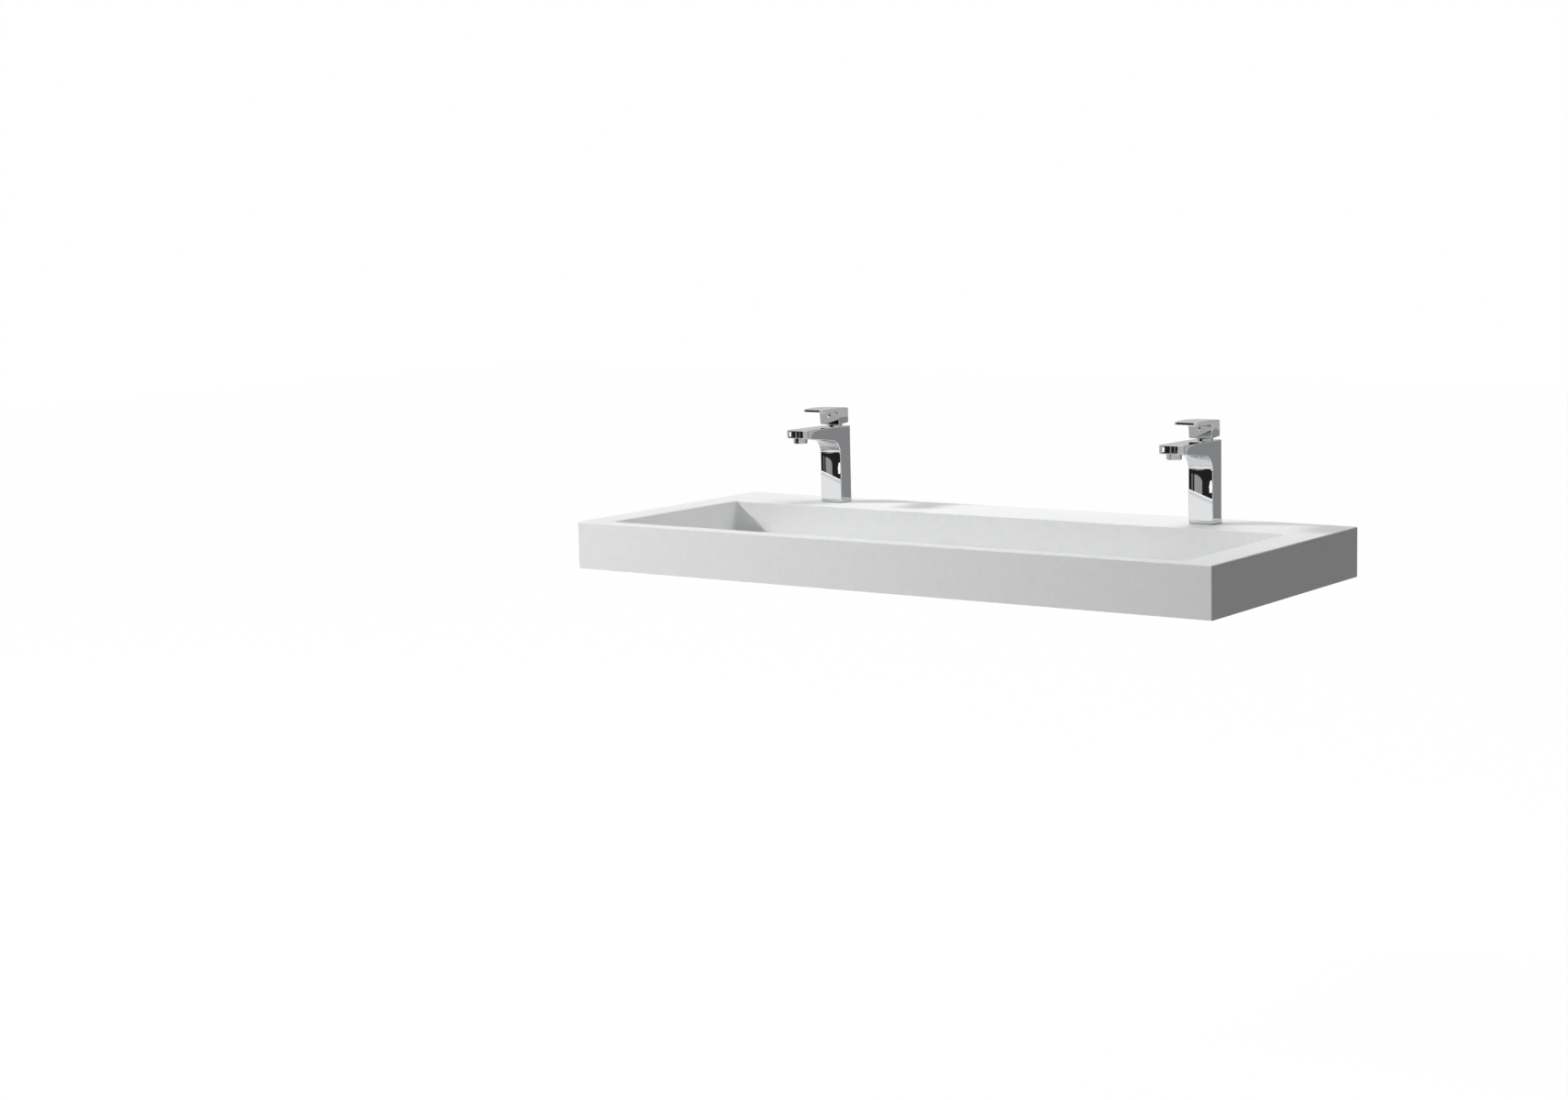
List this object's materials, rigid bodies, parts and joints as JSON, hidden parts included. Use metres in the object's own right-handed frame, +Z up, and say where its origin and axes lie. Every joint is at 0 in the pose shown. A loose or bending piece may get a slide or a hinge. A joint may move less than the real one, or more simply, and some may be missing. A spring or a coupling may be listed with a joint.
{
  "type": "hand basin",
  "caption": "Wide wall-hung rectangular trough basin in matt white mineral cast, with single-lever chrome mixers on its back deck and a push-to-close waste.",
  "frame": {"origin": "middle of the wall-bolt row on the flat back face", "axes": "+X to the right seen from the front, the front faces -Y and the wall is at +Y, +Z up"},
  "size_m": [1.2, 0.5, 0.281],
  "materials": {
    "mineral_cast": "matt white mineral cast, finely sanded",
    "tap_chrome": "bright chrome plate on cast brass",
    "waste_chrome": "bright chrome plate",
    "nut_brass": "machined brass",
    "clamp_steel": "zinc-plated steel",
    "seal_rubber": "black moulded rubber",
    "washer_plastic": "white slip washer",
    "cartridge_plastic": "grey moulded plastic",
    "disc_ceramic": "lapped alumina ceramic",
    "aerator_plastic": "dark moulded plastic"
  },
  "bodies": {
    "root": {"basin_casting": "mineral_cast", "waste_body": "waste_chrome", "flange_seal": "seal_rubber", "floor_gasket": "seal_rubber", "slip_washer": "washer_plastic", "back_nut": "nut_brass", "click_mechanism": "nut_brass", "left_tap_body": "tap_chrome", "left_base_ring": "tap_chrome", "left_base_gasket": "seal_rubber", "left_rubber_washer": "seal_rubber", "left_clamp_plate": "clamp_steel", "left_fixing_nut": "nut_brass", "left_fixing_stud": "clamp_steel", "left_aerator_collar": "tap_chrome", "left_aerator_insert": "aerator_plastic", "left_aerator_washer": "seal_rubber", "left_cartridge_housing": "cartridge_plastic", "left_cartridge_seals": "seal_rubber", "left_fixed_disc": "disc_ceramic", "left_cartridge_nut": "nut_brass", "left_neck_ring": "tap_chrome", "right_tap_body": "tap_chrome", "right_base_ring": "tap_chrome", "right_base_gasket": "seal_rubber", "right_rubber_washer": "seal_rubber", "right_clamp_plate": "clamp_steel", "right_fixing_nut": "nut_brass", "right_fixing_stud": "clamp_steel", "right_aerator_collar": "tap_chrome", "right_aerator_insert": "aerator_plastic", "right_aerator_washer": "seal_rubber", "right_cartridge_housing": "cartridge_plastic", "right_cartridge_seals": "seal_rubber", "right_fixed_disc": "disc_ceramic", "right_cartridge_nut": "nut_brass", "right_neck_ring": "tap_chrome"},
    "left_rotor": {"left_stem_rotor": "cartridge_plastic", "left_pivot_pin": "clamp_steel"},
    "left_disc": {"left_moving_disc": "disc_ceramic", "left_disc_coupler": "cartridge_plastic"},
    "left_handle": {"left_lever": "tap_chrome", "left_lever_stem": "nut_brass", "left_grub_screw": "clamp_steel", "left_index_button": "tap_chrome"},
    "right_rotor": {"right_stem_rotor": "cartridge_plastic", "right_pivot_pin": "clamp_steel"},
    "right_disc": {"right_moving_disc": "disc_ceramic", "right_disc_coupler": "cartridge_plastic"},
    "right_handle": {"right_lever": "tap_chrome", "right_lever_stem": "nut_brass", "right_grub_screw": "clamp_steel", "right_index_button": "tap_chrome"},
    "plug": {"waste_plug": "waste_chrome", "plug_seal": "seal_rubber"}
  },
  "joints": [
    {"name": "left_lever_swing", "type": "hinge", "parent": "root", "child": "left_rotor", "pos_m": [-0.365, -0.0655, 0.166], "axis": [0, 0, 1], "range_deg": [-45, 45]},
    {"name": "left_lever_lift", "type": "hinge", "parent": "left_rotor", "child": "left_handle", "pos_m": [-0.365, -0.0655, 0.166], "axis": [-1, 0, 0], "range_deg": [0, 22]},
    {"name": "left_disc_slide", "type": "slide", "parent": "left_rotor", "child": "left_disc", "axis": [0, -1, 0], "range_m": [0, 0.0031]},
    {"name": "right_lever_swing", "type": "hinge", "parent": "root", "child": "right_rotor", "pos_m": [0.365, -0.0655, 0.166], "axis": [0, 0, 1], "range_deg": [-45, 45]},
    {"name": "right_lever_lift", "type": "hinge", "parent": "right_rotor", "child": "right_handle", "pos_m": [0.365, -0.0655, 0.166], "axis": [-1, 0, 0], "range_deg": [0, 22]},
    {"name": "right_disc_slide", "type": "slide", "parent": "right_rotor", "child": "right_disc", "axis": [0, -1, 0], "range_m": [0, 0.0031]},
    {"name": "plug_lift", "type": "slide", "parent": "root", "child": "plug", "axis": [0, 0, 1], "range_m": [0, 0.009]}
  ],
  "couplings": [
    {"joint": "left_disc_slide", "follows": "left_lever_lift", "m_per_rad": 0.0078},
    {"joint": "right_disc_slide", "follows": "right_lever_lift", "m_per_rad": 0.0078}
  ]
}
